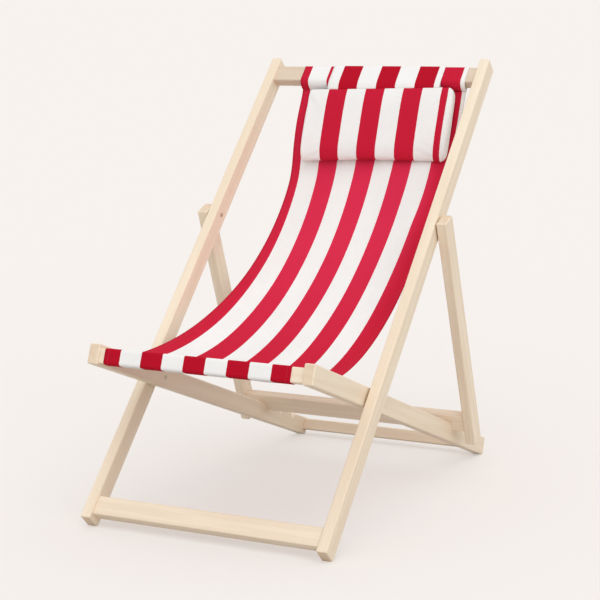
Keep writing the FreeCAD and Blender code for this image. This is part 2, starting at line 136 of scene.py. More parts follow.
def noise(tree, vector, scale, detail, **more):
    values = {"Vector": vector, "Scale": scale, "Detail": detail, **more}
    return put(tree, "ShaderNodeTexNoise", values).outputs[0]


def stretched(tree, vector, by):
    return put(tree, "ShaderNodeVectorMath", {0: vector, 1: by}, operation="MULTIPLY").outputs[0]


def bumped(tree, height, strength, distance):
    values = {"Height": height, "Strength": strength, "Distance": distance}
    return put(tree, "ShaderNodeBump", values).outputs[0]


def newGroup(name, inputs, outputs):
    tree = bpy.data.node_groups.new(name, "ShaderNodeTree")
    for label, kind, value in inputs:
        socket = tree.interface.new_socket(name=label, in_out="INPUT", socket_type=kind)
        if value is not None:
            socket.default_value = value
    for label, kind in outputs:
        tree.interface.new_socket(name=label, in_out="OUTPUT", socket_type=kind)
    return tree, put(tree, "NodeGroupInput").outputs, put(tree, "NodeGroupOutput").inputs


def useGroup(tree, group, values):
    return put(tree, "ShaderNodeGroup", values, node_tree=group).outputs


def newMaterial(name):
    material = bpy.data.materials.new(name)
    material.use_nodes = True
    tree = material.node_tree
    tree.nodes.clear()
    surface = put(tree, "ShaderNodeBsdfPrincipled")
    put(tree, "ShaderNodeOutputMaterial", {"Surface": surface.outputs[0]})
    return material, tree, surface.inputs


wood = {"pale": (0.925, 0.806, 0.643, 1), "dark": (0.720, 0.542, 0.375, 1), "endGrain": (0.89, 0.83, 0.78, 1),
        "endFacing": (0.80, 0.97),
        "ringScale": 24.0, "rings": 34.0, "ringRough": 0.45, "ringWander": 0.35,
        "fibreScale": 520.0, "fibreRough": 0.6, "fibreSpan": (0.2, 0.8),
        "fleckScale": 760.0, "fleckSpan": (0.63, 0.72), "cloudScale": 7.0,
        # how far each is drawn out along the bar: the smaller, the longer
        "ringDrawn": 0.045, "fibreDrawn": 0.03, "fleckDrawn": 0.16, "cloudDrawn": 0.25,
        # how much each darkens the wood, and what is taken off to keep it pale
        "ringDark": 0.20, "fibreDark": 0.26, "fleckDark": 0.16, "cloudDark": 0.34, "paler": 0.14,
        "ringRaise": 0.25, "rough": (0.50, 0.64), "bump": 0.18, "bumpDepth": 0.0004, "shine": 0.35}


# grain of planed pale wood: broad rings drawn out along Z, fine fibres and short dark flecks
def makeWoodGrain(w):
    tree, i, o = newGroup("planedGrain", [
        ("Vector", "NodeSocketVector", None), ("Pale", "NodeSocketColor", w["pale"]),
        ("Dark", "NodeSocketColor", w["dark"]), ("Ring Scale", "NodeSocketFloat", w["ringScale"])],
        [("Color", "NodeSocketColor"), ("Roughness", "NodeSocketFloat"), ("Height", "NodeSocketFloat")])

    def drawn(z):
        return stretched(tree, i["Vector"], (1.0, 1.0, z))
    broad = noise(tree, drawn(w["ringDrawn"]), i["Ring Scale"], detail=2.0,
                  Roughness=w["ringRough"], Distortion=w["ringWander"])
    rings = remap(tree, calc(tree, "SINE", calc(tree, "MULTIPLY", broad, w["rings"])), -1.0, 1.0)
    fibre = noise(tree, drawn(w["fibreDrawn"]), w["fibreScale"], detail=3.0, Roughness=w["fibreRough"])
    fleck = noise(tree, drawn(w["fleckDrawn"]), w["fleckScale"], detail=1.0)
    fleck = remap(tree, fleck, *w["fleckSpan"])
    cloud = noise(tree, drawn(w["cloudDrawn"]), w["cloudScale"], detail=2.0)
    depth = calc(tree, "MULTIPLY_ADD", rings, w["ringDark"], calc(tree, "MULTIPLY", fibre, w["fibreDark"]))
    depth = calc(tree, "MULTIPLY_ADD", cloud, w["cloudDark"], depth)
    depth = calc(tree, "MULTIPLY_ADD", fleck, w["fleckDark"], calc(tree, "SUBTRACT", depth, w["paler"]))
    raised = calc(tree, "MULTIPLY_ADD", rings, w["ringRaise"], calc(tree, "SUBTRACT", fibre, fleck))
    tree.links.new(mixed(tree, depth, i["Pale"], i["Dark"]), o["Color"])
    tree.links.new(remap(tree, fibre, *w["fibreSpan"], *w["rough"]), o["Roughness"])
    tree.links.new(raised, o["Height"])
    return tree


woodGrain = makeWoodGrain(wood)
woodTurns = {  # how Object coordinates turn so that Z runs along each bar
    "longRailWood": (math.radians(chair["lean"]), 0.0, 0.0),
    "seatRailWood": (math.radians(chair["seatSlope"] + 90.0), 0.0, 0.0),
    "propLegWood": (-math.radians(chair["propSlope"]), 0.0, 0.0),
    "crossRailWood": (0.0, math.radians(90.0), 0.0),
    "topRailWood": (0.0, math.radians(90.0), 0.0),
}
paintedWoodShade = {"topRailWood": (0.815, 0.785, 0.785, 1)}  # painted shade: the top rail is darkened for the less light it gets between the long rails
woodOf = {
    "longRailWood": ["long_rail_left", "long_rail_right"],
    "seatRailWood": ["seat_rail_left", "seat_rail_right"],
    "propLegWood": ["prop_leg_left", "prop_leg_right"],
    "topRailWood": ["top_rail"],
    "crossRailWood": ["foot_rail", "seat_front_rail", "seat_rear_rail", "prop_bar"],
}


def makeWood(name, turn, w):
    material, tree, surface = newMaterial(name)
    place = put(tree, "ShaderNodeTexCoord").outputs
    along = put(tree, "ShaderNodeMapping", {"Vector": place["Object"], "Rotation": turn}).outputs[0]
    facing = put(tree, "ShaderNodeMapping", {"Vector": place["Normal"], "Rotation": turn}, vector_type="VECTOR")
    facing = calc(tree, "ABSOLUTE", put(tree, "ShaderNodeSeparateXYZ", {0: facing.outputs[0]}).outputs[2])
    # the top rail's painted shade darkens both its pale and its dark
    tone = paintedWoodShade.get(name, (1, 1, 1, 1))
    pale, dark = (tuple(a * b for a, b in zip(w[k], tone)) for k in ("pale", "dark"))
    grain = useGroup(tree, woodGrain, {"Vector": along, "Pale": pale, "Dark": dark, "Ring Scale": w["ringScale"]})
    # end grain is darker: it shows where the surface faces along the bar
    sawn = mixed(tree, remap(tree, facing, *w["endFacing"]), (1, 1, 1, 1), w["endGrain"])
    tree.links.new(mixed(tree, 1.0, grain["Color"], sawn, "MULTIPLY"), surface["Base Color"])
    tree.links.new(grain["Roughness"], surface["Roughness"])
    tree.links.new(bumped(tree, grain["Height"], w["bump"], w["bumpDepth"]), surface["Normal"])
    surface["Specular IOR Level"].default_value = w["shine"]
    return material


for woodName, turn in woodTurns.items():
    made = makeWood(woodName, turn, wood)
    for member in woodOf[woodName]:
        nodes[member].material_slots[0].material = made
print("wood done")

metal = {"zinc": (0.70, 0.61, 0.50, 1), "zincRough": 0.45, "brass": (0.70, 0.53, 0.25, 1), "brassRough": 0.38,
         "markScale": 2600.0, "markDrawn": 0.12, "dullScale": 240.0, "dullest": 0.86,
         "smoother": 0.06, "rougher": 0.10, "bump": 0.08, "bumpDepth": 0.0001}


# turned metal: fine rings of turning marks across X, a little dull
def makeMetal(name, color, rough, m):
    material, tree, surface = newMaterial(name)
    place = put(tree, "ShaderNodeTexCoord").outputs["Object"]
    marks = noise(tree, stretched(tree, place, (1.0, m["markDrawn"], m["markDrawn"])), m["markScale"], detail=2.0)
    dull = noise(tree, place, m["dullScale"], detail=3.0)
    tree.links.new(shaded(tree, color, remap(tree, dull, *noiseSpan, m["dullest"], 1.0)), surface["Base Color"])
    roughness = remap(tree, dull, *noiseSpan, rough - m["smoother"], rough + m["rougher"])
    tree.links.new(roughness, surface["Roughness"])
    tree.links.new(bumped(tree, marks, m["bump"], m["bumpDepth"]), surface["Normal"])
    surface["Metallic"].default_value = 1.0
    return material


zincSteel = makeMetal("zincSteel", metal["zinc"], metal["zincRough"], metal)
plainBrass = makeMetal("plainBrass", metal["brass"], metal["brassRough"], metal)
for nodeName, obj in nodes.items():
    if "_bolt_" in nodeName or "_washer_" in nodeName:
        obj.material_slots[0].material = zincSteel
    if "_insert_" in nodeName:
        obj.material_slots[0].material = plainBrass
print("metal done")

canvas = {
    # red of padded cloth; a lighter red, painted light for the light that comes through the single cloth from behind;
    # and a deeper red, painted shade, for cloth doubled over a bar
    "red": (0.610, 0.012, 0.041, 1), "redPaintedBacklight": (0.735, 0.027, 0.080, 1), "redPaintedShade": (0.505, 0.004, 0.021, 1),
    "white": (0.935, 0.925, 0.910, 1), "stripe": 0.0455, "stripeSoft": 0.004, "frayScale": 700.0, "fray": 0.035,
    # the single cloth's painted light: where it fades along the cloth, and near the left and right edges, at the left
    # for the doubled hem and at the right for the long rail's shadow
    "backlightFade": (0.35, 0.82), "sleeveFade": 0.004, "leftFade": (0.004, 0.055), "leftLeast": 0.25,
    "rightFade": (0.01, 0.06),
    "toneScale": 9.0, "toneRough": 0.6, "toneLeast": 0.95, "slubScale": 900.0, "slubDrawn": 0.05, "slubLeast": 0.965,
    "yarn": 0.0012, "yarnOver": (-0.4, 0.4), "weaveLeast": 0.93, "weaveBump": 0.22,
    # sewing thread: how much it shows, a stitch's length and where in it the thread starts and ends, how far off
    # the line the thread and the dip in the cloth reach, and their heights
    "thread": (0.86, 0.78, 0.76, 1), "threadShow": 0.03, "stitch": 0.0038, "dashOn": (0.06, 0.16),
    "dashOff": (0.86, 0.76), "threadReach": (0.0007, 0.0004), "dipReach": (0.003, 0.0005), "threadHigh": 1.2,
    "dipDeep": -0.8,
    "rough": (0.82, 0.95), "bump": 0.35, "bumpDepth": 0.0006, "shine": 0.1,
}


# plain weave: warp and weft threads as two crossed waves, each over and under the other
def makeWeave(c):
    tree, i, o = newGroup("plainWeave", [("Across", "NodeSocketFloat", 0.0), ("Along", "NodeSocketFloat", 0.0),
                                         ("Thread", "NodeSocketFloat", c["yarn"])],
                          [("Height", "NodeSocketFloat"), ("Shade", "NodeSocketFloat")])

    def wave(run):
        return calc(tree, "SINE", calc(tree, "MULTIPLY", calc(tree, "DIVIDE", run, i["Thread"]), math.pi))
    across, along = wave(i["Across"]), wave(i["Along"])
    over = remap(tree, calc(tree, "MULTIPLY", across, along), *c["yarnOver"])
    warp, weft = calc(tree, "ABSOLUTE", across), calc(tree, "ABSOLUTE", along)
    height = put(tree, "ShaderNodeMix", {0: over, 2: warp, 3: weft}, data_type="FLOAT").outputs[0]
    tree.links.new(height, o["Height"])
    # painted shade in the weave's hollows: the threads' lower parts are darker
    tree.links.new(remap(tree, height, 0.0, 1.0, c["weaveLeast"], 1.0), o["Shade"])
    return tree


# a row of stitches along a line: thread where the dash is on, a dip in the cloth beside it
def makeStitch(c):
    tree, i, o = newGroup("stitchRow", [("Off Line", "NodeSocketFloat", 1.0), ("Along", "NodeSocketFloat", 0.0),
                                        ("Length", "NodeSocketFloat", c["stitch"])],
                          [("Thread", "NodeSocketFloat"), ("Height", "NodeSocketFloat")])
    off = calc(tree, "ABSOLUTE", i["Off Line"])
    dash = calc(tree, "FRACT", calc(tree, "DIVIDE", i["Along"], i["Length"]))
    starts, ends = (remap(tree, dash, *c[k], smooth=True) for k in ("dashOn", "dashOff"))
    near = remap(tree, off, *c["threadReach"], smooth=True)
    thread = calc(tree, "MULTIPLY", calc(tree, "MULTIPLY", starts, ends), near)
    dip = remap(tree, off, *c["dipReach"], 0.0, c["dipDeep"], smooth=True)
    tree.links.new(thread, o["Thread"])
    tree.links.new(calc(tree, "MULTIPLY_ADD", thread, c["threadHigh"], dip), o["Height"])
    return tree


weave = makeWeave(canvas)
stitchRow = makeStitch(canvas)


# striped canvas: UV map "stripes" counts stripes from the left, even ones red; UV map "cloth" is metres on the cloth
def makeCanvas(name, sideLines, crossLines, redTone="red", hanging=None):
    c = canvas
    material, tree, surface = newMaterial(name)

    def mapped(mapName):
        vector = put(tree, "ShaderNodeUVMap", uv_map=mapName).outputs[0]
        return vector, put(tree, "ShaderNodeSeparateXYZ", {0: vector}).outputs
    count = mapped("stripes")[1][0]
    cloth, parts = mapped("cloth")
    across, along = parts[0], parts[1]
    fray = calc(tree, "SUBTRACT", noise(tree, cloth, c["frayScale"], detail=1.0), 0.5)
    count = calc(tree, "MULTIPLY_ADD", fray, c["fray"], count)
    # a red and a white stripe make one pair: its first half is red
    pair = calc(tree, "FRACT", calc(tree, "MULTIPLY", count, 0.5))
    leaveWhite = remap(tree, pair, 0.0, c["stripeSoft"])
    red = calc(tree, "MULTIPLY", leaveWhite, remap(tree, pair, 0.5 + c["stripeSoft"], 0.5))
    threads = useGroup(tree, weave, {"Across": across, "Along": along})
    tone = noise(tree, cloth, c["toneScale"], detail=4.0, Roughness=c["toneRough"])
    slub = noise(tree, stretched(tree, cloth, (1.0, c["slubDrawn"], 1.0)), c["slubScale"], detail=2.0)
    # the weave's painted shade, times the cloth's random tone and its slubs
    shade = calc(tree, "MULTIPLY", threads["Shade"], remap(tree, tone, *noiseSpan, c["toneLeast"], 1.0))
    shade = calc(tree, "MULTIPLY", shade, remap(tree, slub, *noiseSpan, c["slubLeast"], 1.0))
    tint = c[redTone]
    if hanging:
        top, front, width = hanging  # where the single cloth starts and ends along the sling, and its width
        # painted light: the hanging single cloth gets a lighter red where light comes through it from behind
        fadeFrom, fadeTo = (top + run for run in c["backlightFade"])
        starts = remap(tree, along, top, top + c["sleeveFade"])
        backlit = calc(tree, "MULTIPLY", starts, remap(tree, along, fadeFrom, fadeTo, 1.0, 0.0))
        leftEdge = remap(tree, across, *c["leftFade"], c["leftLeast"], 1.0, smooth=True)
        rightEdge = remap(tree, across, *(width - inset for inset in c["rightFade"]), smooth=True)
        backlit = calc(tree, "MULTIPLY", calc(tree, "MULTIPLY", backlit, leftEdge), rightEdge)
        tint = mixed(tree, backlit, tint, c["redPaintedBacklight"])
        # painted shade: the front sleeve takes the deeper red
        tint = mixed(tree, remap(tree, along, front - c["sleeveFade"], front), tint, c["redPaintedShade"])
    dyed = shaded(tree, mixed(tree, red, c["white"], tint), shade)
    height = calc(tree, "MULTIPLY", threads["Height"], c["weaveBump"])
    for lines, offFrom, runs in ((sideLines, across, along), (crossLines, along, across)):
        for line in lines:
            row = useGroup(tree, stitchRow, {"Off Line": calc(tree, "SUBTRACT", offFrom, line), "Along": runs})
            dyed = mixed(tree, calc(tree, "MULTIPLY", row["Thread"], c["threadShow"]), dyed, c["thread"])
            height = calc(tree, "ADD", height, row["Height"])
    tree.links.new(dyed, surface["Base Color"])
    tree.links.new(remap(tree, slub, *noiseSpan, *c["rough"]), surface["Roughness"])
    tree.links.new(bumped(tree, height, c["bump"], c["bumpDepth"]), surface["Normal"])
    surface["Specular IOR Level"].default_value = c["shine"]
    return material


# a sheet of quads from a grid of points, with one value of each UV map at every grid point
def gridPart(points, maps):
    rows, cols = points.shape[:2]
    index = np.arange(rows * cols).reshape(rows, cols)
    quads = np.stack([index[:-1, :-1], index[:-1, 1:], index[1:, 1:], index[1:, :-1]], -1).reshape(-1, 4)
    corners = {name: values.reshape(-1, 2)[quads.reshape(-1)] for name, values in maps.items()}
    return points.reshape(-1, 3), quads, corners


def meshObject(name, parts):
    points = np.concatenate([part[0] for part in parts])
    offsets = np.cumsum([0] + [len(part[0]) for part in parts[:-1]])
    quads = np.concatenate([part[1] + offset for part, offset in zip(parts, offsets)])
    mesh = bpy.data.meshes.new(name)
    mesh.vertices.add(len(points))
    mesh.vertices.foreach_set("co", points.astype(np.float32).reshape(-1))
    mesh.loops.add(quads.size)
    mesh.loops.foreach_set("vertex_index", quads.astype(np.int32).reshape(-1))
    mesh.polygons.add(len(quads))
    mesh.polygons.foreach_set("loop_start", np.arange(0, quads.size, 4, dtype=np.int32))
    mesh.update(calc_edges=True)
    for mapName in parts[0][2]:
        layer = mesh.uv_layers.new(name=mapName)
        corners = np.concatenate([part[2][mapName] for part in parts])
        layer.data.foreach_set("uv", corners.astype(np.float32).reshape(-1))
    mesh.polygons.foreach_set("use_smooth", np.ones(len(quads), dtype=bool))
    obj = bpy.data.objects.new(name, mesh)
    bpy.context.scene.collection.objects.link(obj)
    return obj


def thicken(obj):
    thick = obj.modifiers.new("clothThickness", "SOLIDIFY")
    thick.thickness = chair["cloth"]
    thick.offset = 0.0


# points evenly spaced along a polyline, and the distance run at each
def even(path, step):
    gaps = np.linalg.norm(np.diff(path, axis=0), axis=1)
    run = np.concatenate([[0.0], np.cumsum(gaps)])
    places = np.linspace(0.0, run[-1], max(2, int(round(run[-1] / step)) + 1))
    return np.stack([np.interp(places, run, path[:, k]) for k in range(path.shape[1])], -1), places


curveShare = np.linspace(0.0, 1.0, 12)[:, None]  # places along a short curve, from its start to its end


# part of a circle in the (y, z) plane between two angles
def arc(centre, radius, low, high, count=7):
    a = np.radians(np.linspace(low, high, count))
    return np.stack([centre[0] + radius * np.cos(a), centre[1] + radius * np.sin(a)], -1)


# the line of cloth around a bar: quarter rounds joined by straight runs, from a start point and back to it
def aroundBar(bar, offset, start, order):
    y0, y1, z0, z1 = bar[0] - offset, bar[1] + offset, bar[2] - offset, bar[3] + offset
    r = chair["barRound"] + offset
    rounds = {"rearLow": ((y1 - r, z0 + r), 0, -90), "rearHigh": ((y1 - r, z1 - r), 90, 0),
              "frontHigh": ((y0 + r, z1 - r), 180, 90), "frontLow": ((y0 + r, z0 + r), 270, 180)}
    corners = [arc(rounds[corner][0], r, *rounds[corner][1:]) for corner in order]
    return np.concatenate([[start]] + corners + [[start]])


sling = {"width": 0.3925, "topShift": 0.0245, "frontShift": -0.008, "topRed": 0.407, "frontRed": 0.763,
         # angle and pull of the cloth at each bar: at its left edge, in its middle and at its right edge
         "topAngle": (88.3, 85.0, 91.4), "topPull": (1.276, 1.111, 0.388),
         "frontAngle": (-8.0, -31.9, -27.5), "frontPull": (0.772, 0.793, 1.152),
         "sleeveDrop": 0.0075, "bellyFrom": 0.006, "bellyPull": 0.008, "bellyLow": (-0.0125, 0.006),
         # behind the pillow: how far the cloth stands out there, how it comes free below, and how softly
         "pillowBack": 0.0008, "pillowEnd": 0.13, "freeOut": 0.012, "freeRun": 0.08, "soft": 0.0012,
         "dip": -0.003, "dipEnd": 0.24, "dipFade": 0.10, "heldBack": 0.19,
         "edgeCurl": 0.007, "curlWide": 0.12, "curlLong": 0.18,
         "step": 0.006, "loopStep": 0.003, "fine": 400, "columns": 66, "hem": 0.0085, "seam": 0.004, "seamRow": 0.006,
         "ripple": 0.0005, "waves": ((1.0, 41.0, 5.0), (0.6, 97.0, 23.0))}  # height, turns across, drift along


# a value that runs across the cloth: the parabola through its left, middle and right values
def acrossCloth(values, t):
    left, middle, right = values
    return left * (1 - t) * (1 - 2 * t) + middle * 4 * t * (1 - t) + right * t * (2 * t - 1)


# directions (y, z) along the straight back, upwards, and out of it towards the sitter
def backWays():
    a = math.radians(chair["backAngle"])
    return np.array([math.cos(a), math.sin(a)]), np.array([-math.sin(a), math.cos(a)])


# the hanging cloth: for each thread from top to front, the cubic that leaves the top bar and reaches the front bar
# at its own angles; behind the pillow it is eased on to the straight back
def hangingCloth(top, front, s, t):
    def pulled(angle, pull):
        a = np.radians(acrossCloth(s[angle], t))
        return -np.stack([np.cos(a), np.sin(a)], -1) * acrossCloth(s[pull], t)[:, None]
    leave, arrive = pulled("topAngle", "topPull"), pulled("frontAngle", "frontPull")
    up, out = backWays()
    soft = s["soft"]

    def threads(u):
        u = u[:, None, None]
        points = ((2 * u**3 - 3 * u**2 + 1) * top + (u**3 - 2 * u**2 + u) * leave
                  + (3 * u**2 - 2 * u**3) * front + (u**3 - u**2) * arrive)
        down, off = -(points - top) @ up, (points - top) @ out
        # no further out than the pillow's back
        most = s["pillowBack"] + s["freeOut"] * (np.maximum(down - s["pillowEnd"], 0.0) / s["freeRun"]) ** 2
        eased = off - soft * np.logaddexp(0.0, (off - most) / soft)
        # no further back than the dip: 1 behind the pillow, 0 well below it
        behind = np.clip((s["dipEnd"] - down) / s["dipFade"], 0.0, 1.0)
        eased = eased + soft * np.logaddexp(0.0, (s["dip"] - eased) / soft) * behind**2 * (3 - 2 * behind)
        # the left edge curls forward beside the pillow
        free = np.clip(1 - t / s["curlWide"], 0.0, 1.0) ** 2
        eased = eased + s["edgeCurl"] * free * np.sin(np.pi * np.clip(down / s["curlLong"], 0.0, 1.0)) ** 2
        return points + out * (eased - off)[..., None]
    fine = np.linspace(0.0, 1.0, s["fine"])
    gaps = np.linalg.norm(np.diff(threads(fine).mean(1), axis=0), axis=1)
    run = np.concatenate([[0.0], np.cumsum(gaps)])
    places = np.linspace(s["sleeveDrop"], run[-1], int(round(run[-1] / s["step"])) + 1)
    return threads(np.interp(places, run, fine)), places - places[0]


# the top sleeve is loose: its front hangs below the bar in a belly, a cubic curve, and closes behind it
def topSleeve(bar, mid, close, s):
    y0, y1, z0, z1 = bar[0] - mid, bar[1] + mid, bar[2] - mid, bar[3] + mid
    r = chair["barRound"] + mid
    over = np.concatenate([[(y1, z0 + r)], arc((y1 - r, z1 - r), r, 0, 90), arc((y0 + r, z1 - r), r, 90, 180)])
    ends = np.array([[y0, z0 + s["bellyFrom"]], [y0, z0 + s["bellyFrom"] - s["bellyPull"]]])
    leave, onward = leaning(ends, chair["lean"])
    sag = close + np.array(s["bellyLow"])
    u = curveShare
    belly = (1 - u) ** 3 * leave + 3 * u * (1 - u) ** 2 * onward + 3 * u**2 * (1 - u) * sag + u**3 * close
    return np.concatenate([[close], leaning(over, chair["lean"]), belly])


# the sling: the loose top sleeve, the hanging cloth and the sleeve on the front bar, one sheet from end to end
def makeSling(s):
    mid = chair["play"] + chair["cloth"] / 2
    topBar, frontBar = chair["topRail"], chair["frontRail"]
    t = np.linspace(0.0, 1.0, s["columns"])
    top = leaning(np.array([topBar[1] - chair["barRound"], topBar[2] - mid]), chair["lean"])
    frontStart = np.array([frontBar[1] + mid, (frontBar[2] + frontBar[3]) / 2])  # behind the middle of the front bar
    front = leaning(frontStart, chair["seatSlope"])
    sheet, runB = hangingCloth(top, front, s, t)
    frontLoop = aroundBar(frontBar, mid, frontStart, ["rearLow", "frontLow", "frontHigh", "rearHigh"])
    loopA, runA = even(topSleeve(topBar, mid, sheet[0].mean(0), s), s["loopStep"])
    loopB, runC = even(leaning(frontLoop, chair["seatSlope"]), s["loopStep"])
    wide = np.ones((1, s["columns"], 1))
    path = np.concatenate([loopA[:, None] * wide, sheet[1:], loopB[1:, None] * wide])
    topEnd, frontEnd = float(runA[-1]), float(runA[-1] + runB[-1])
    run = np.concatenate([runA, topEnd + runB[1:], frontEnd + runC[1:]])
    share = np.clip((run - topEnd) / runB[-1], 0.0, 1.0)[:, None]  # 0 at the top rail, 1 at the front rail
    centre = s["topShift"] + (s["frontShift"] - s["topShift"]) * share
    redPart = s["topRed"] + (s["frontRed"] - s["topRed"]) * share
    x = centre + (t[None, :] - 0.5) * s["width"]
    across = np.broadcast_to(t * s["width"], x.shape)
    along = np.broadcast_to(run[:, None], x.shape)
    # slack ripples: low waves across the cloth that die out at the bars
    calm = np.sin(np.pi * share) ** 0.5
    wave = sum(high * np.sin(across * turns + drift * share) for high, turns, drift in s["waves"])
    points = np.stack([x, path[..., 0], path[..., 1] + s["ripple"] * calm * wave], -1)
    stripes = np.stack([1.0 - redPart + across / canvas["stripe"], along], -1)
    obj = meshObject("striped_sling", [gridPart(points, {"stripes": stripes, "cloth": np.stack([across, along], -1)})])
    hems = [s["hem"], s["width"] - s["hem"]]
    seams = [topEnd - s["seam"], topEnd + s["seam"], frontEnd - s["seam"], frontEnd - s["seam"] - s["seamRow"]]
    obj.data.materials.append(makeCanvas("slingCanvas", hems, seams, hanging=(topEnd, frontEnd, s["width"])))
    thicken(obj)
    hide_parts("sling")
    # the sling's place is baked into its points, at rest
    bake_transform(obj)
    print("sling: cloth %.3f m long, hanging part %.3f m" % (run[-1], runB[-1]))


makeSling(sling)

pillow = {"width": 0.3265, "shift": 0.02425, "height": 0.1650, "thick": 0.028, "start": 0.0090, "off": 0.0028,
          # the section, as shares of the height down the back and of the thickness off it, from its top front edge
          "section": [(0.000, 0.68), (0.020, 0.755), (0.08, 0.785), (0.20, 0.85), (0.41, 0.953), (0.62, 1.00),
                      (0.76, 0.985), (0.86, 0.92), (0.93, 0.80), (0.975, 0.62), (1.000, 0.40), (0.995, 0.20),
                      (0.970, 0.05), (0.90, 0.00), (0.65, -0.02), (0.40, -0.02), (0.15, 0.00), (0.045, 0.02),
                      (0.016, 0.12), (0.004, 0.34)],
          "middle": (0.5, 0.45), "stripe": 0.0447, "firstWhite": 0.955, "hem": 0.0025,
          # sewn ends: how much smaller they are down and off the back, how close to the end, and their panels
          "drawn": (0.012, 0.05), "drawnPower": 12, "bulge": (0.005, 0.0115), "bulgePower": 20,
          "panelStripe": (1.06, 0.84), "pucker": 0.0004, "puckerPitch": 0.011, "seamKeep": 0.007,
          "slant": 0.0270, "lean": 0.019, "around": 104, "rows": 84, "panelRows": 14, "weld": 1e-6, "sliver": 1e-7,
          "slack": 0.0030, "slackPower": 10, "pressure": 4.0, "quality": 6, "frames": 20, "cap": 0.0045}

flap = {"width": 0.2665, "shift": 0.0334, "firstWhite": 0.565, "step": 0.003, "columns": 50, "straight": 0.005,
        "tuck": 0.0012, "seamOff": 0.66, "askewRun": 0.02, "hem": 0.005, "backSeam": 0.008, "arcPoints": 9}


# where the pillow's point at some distance down the back and off it lies, in (y, z)
def onBack(p, down, off):
    up, out = backWays()
    base = np.array(chair["backTop"]) - up * p["start"] + out * p["off"]
    return base - up * np.asarray(down)[..., None] + out * np.asarray(off)[..., None]


# the pillow's band: from the pillow's top front edge it swings up to the front of the sleeve, as a parabola through
# a corner straight above that edge, then goes over the top rail and down behind it
def makeFlap(f, p):
    mid = 2 * chair["play"] + 1.5 * chair["cloth"]  # its middle line, off the bar and outside the sling's sleeve
    y0, y1, z0, z1 = chair["topRail"]
    r = chair["barRound"] + mid
    edge = onBack(p, f["tuck"], f["seamOff"] * p["thick"])
    leave = leaning(np.array([y0 - mid, z0 + f["straight"]]), chair["lean"])
    lower = leaning(np.array([y0 - mid, z0]), chair["lean"])
    corner = lower + (leave - lower) * (edge[0] - lower[0]) / (leave[0] - lower[0])
    u = curveShare
    swing = (1 - u) ** 2 * edge + 2 * u * (1 - u) * corner + u**2 * leave
    over = np.concatenate([arc((y0 - mid + r, z1 + mid - r), r, 180, 90, f["arcPoints"]),
                           arc((y1 + mid - r, z1 + mid - r), r, 90, 0, f["arcPoints"]), [(y1 + mid, z0)]])
    path, run = even(np.concatenate([swing, leaning(over, chair["lean"])]), f["step"])
    t = np.linspace(0.0, 1.0, f["columns"])
    x = np.broadcast_to(f["shift"] + (t - 0.5) * f["width"], (len(run), f["columns"]))
    across = np.broadcast_to(t * f["width"], x.shape)
    along = np.broadcast_to(run[:, None], x.shape)
    # its lower edge follows the pillow, which hangs a little askew
    askew = p["slant"] * (x - p["shift"]) * np.clip(1 - run / f["askewRun"], 0.0, 1.0)[:, None] ** 2
    yz = path[:, None, :] + askew[..., None] * backWays()[0]
    points = np.concatenate([x[..., None], yz], -1)
    stripes = np.stack([2.0 - f["firstWhite"] + across / canvas["stripe"], along], -1)
    obj = meshObject("pillow_band", [gridPart(points, {"stripes": stripes, "cloth": np.stack([across, along], -1)})])
    hems, seams = [f["hem"], f["width"] - f["hem"]], [float(run[-1]) - f["backSeam"]]
    # painted shade: the band takes the deeper red all over
    obj.data.materials.append(makeCanvas("flapCanvas", hems, seams, "redPaintedShade"))
    thicken(obj)
    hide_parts("pillow_flap")
    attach(obj, "long_frame")
    print("flap: %.3f m over the rail" % run[-1])


makeFlap(flap, pillow)


# smooth closed line through some points: the periodic cubic spline over the distance between them
def closedLine(points, count):
    points = np.asarray(points, float)
    gap = np.linalg.norm(np.roll(points, -1, 0) - points, axis=1)
    before, n, here = np.roll(gap, 1), len(points), np.arange(len(points))
    slope = (np.roll(points, -1, 0) - points) / gap[:, None]
    rows = np.zeros((n, n))
    rows[here, here] = 2 * (before + gap)
    rows[here, here - 1] = before
    rows[here, (here + 1) % n] = gap
    bend = np.linalg.solve(rows, 6 * (slope - np.roll(slope, 1, 0)))
    at = np.linspace(0.0, gap.sum(), count, endpoint=False)
    start = np.concatenate([[0.0], np.cumsum(gap)[:-1]])
    k = np.searchsorted(start, at, side="right") - 1
    s, h, nextK = (at - start[k])[:, None], gap[k][:, None], (k + 1) % n
    return (points[k] + s * (slope[k] - h * (2 * bend[k] + bend[nextK]) / 6)
            + s**2 * bend[k] / 2 + s**3 * (bend[nextK] - bend[k]) / (6 * h))


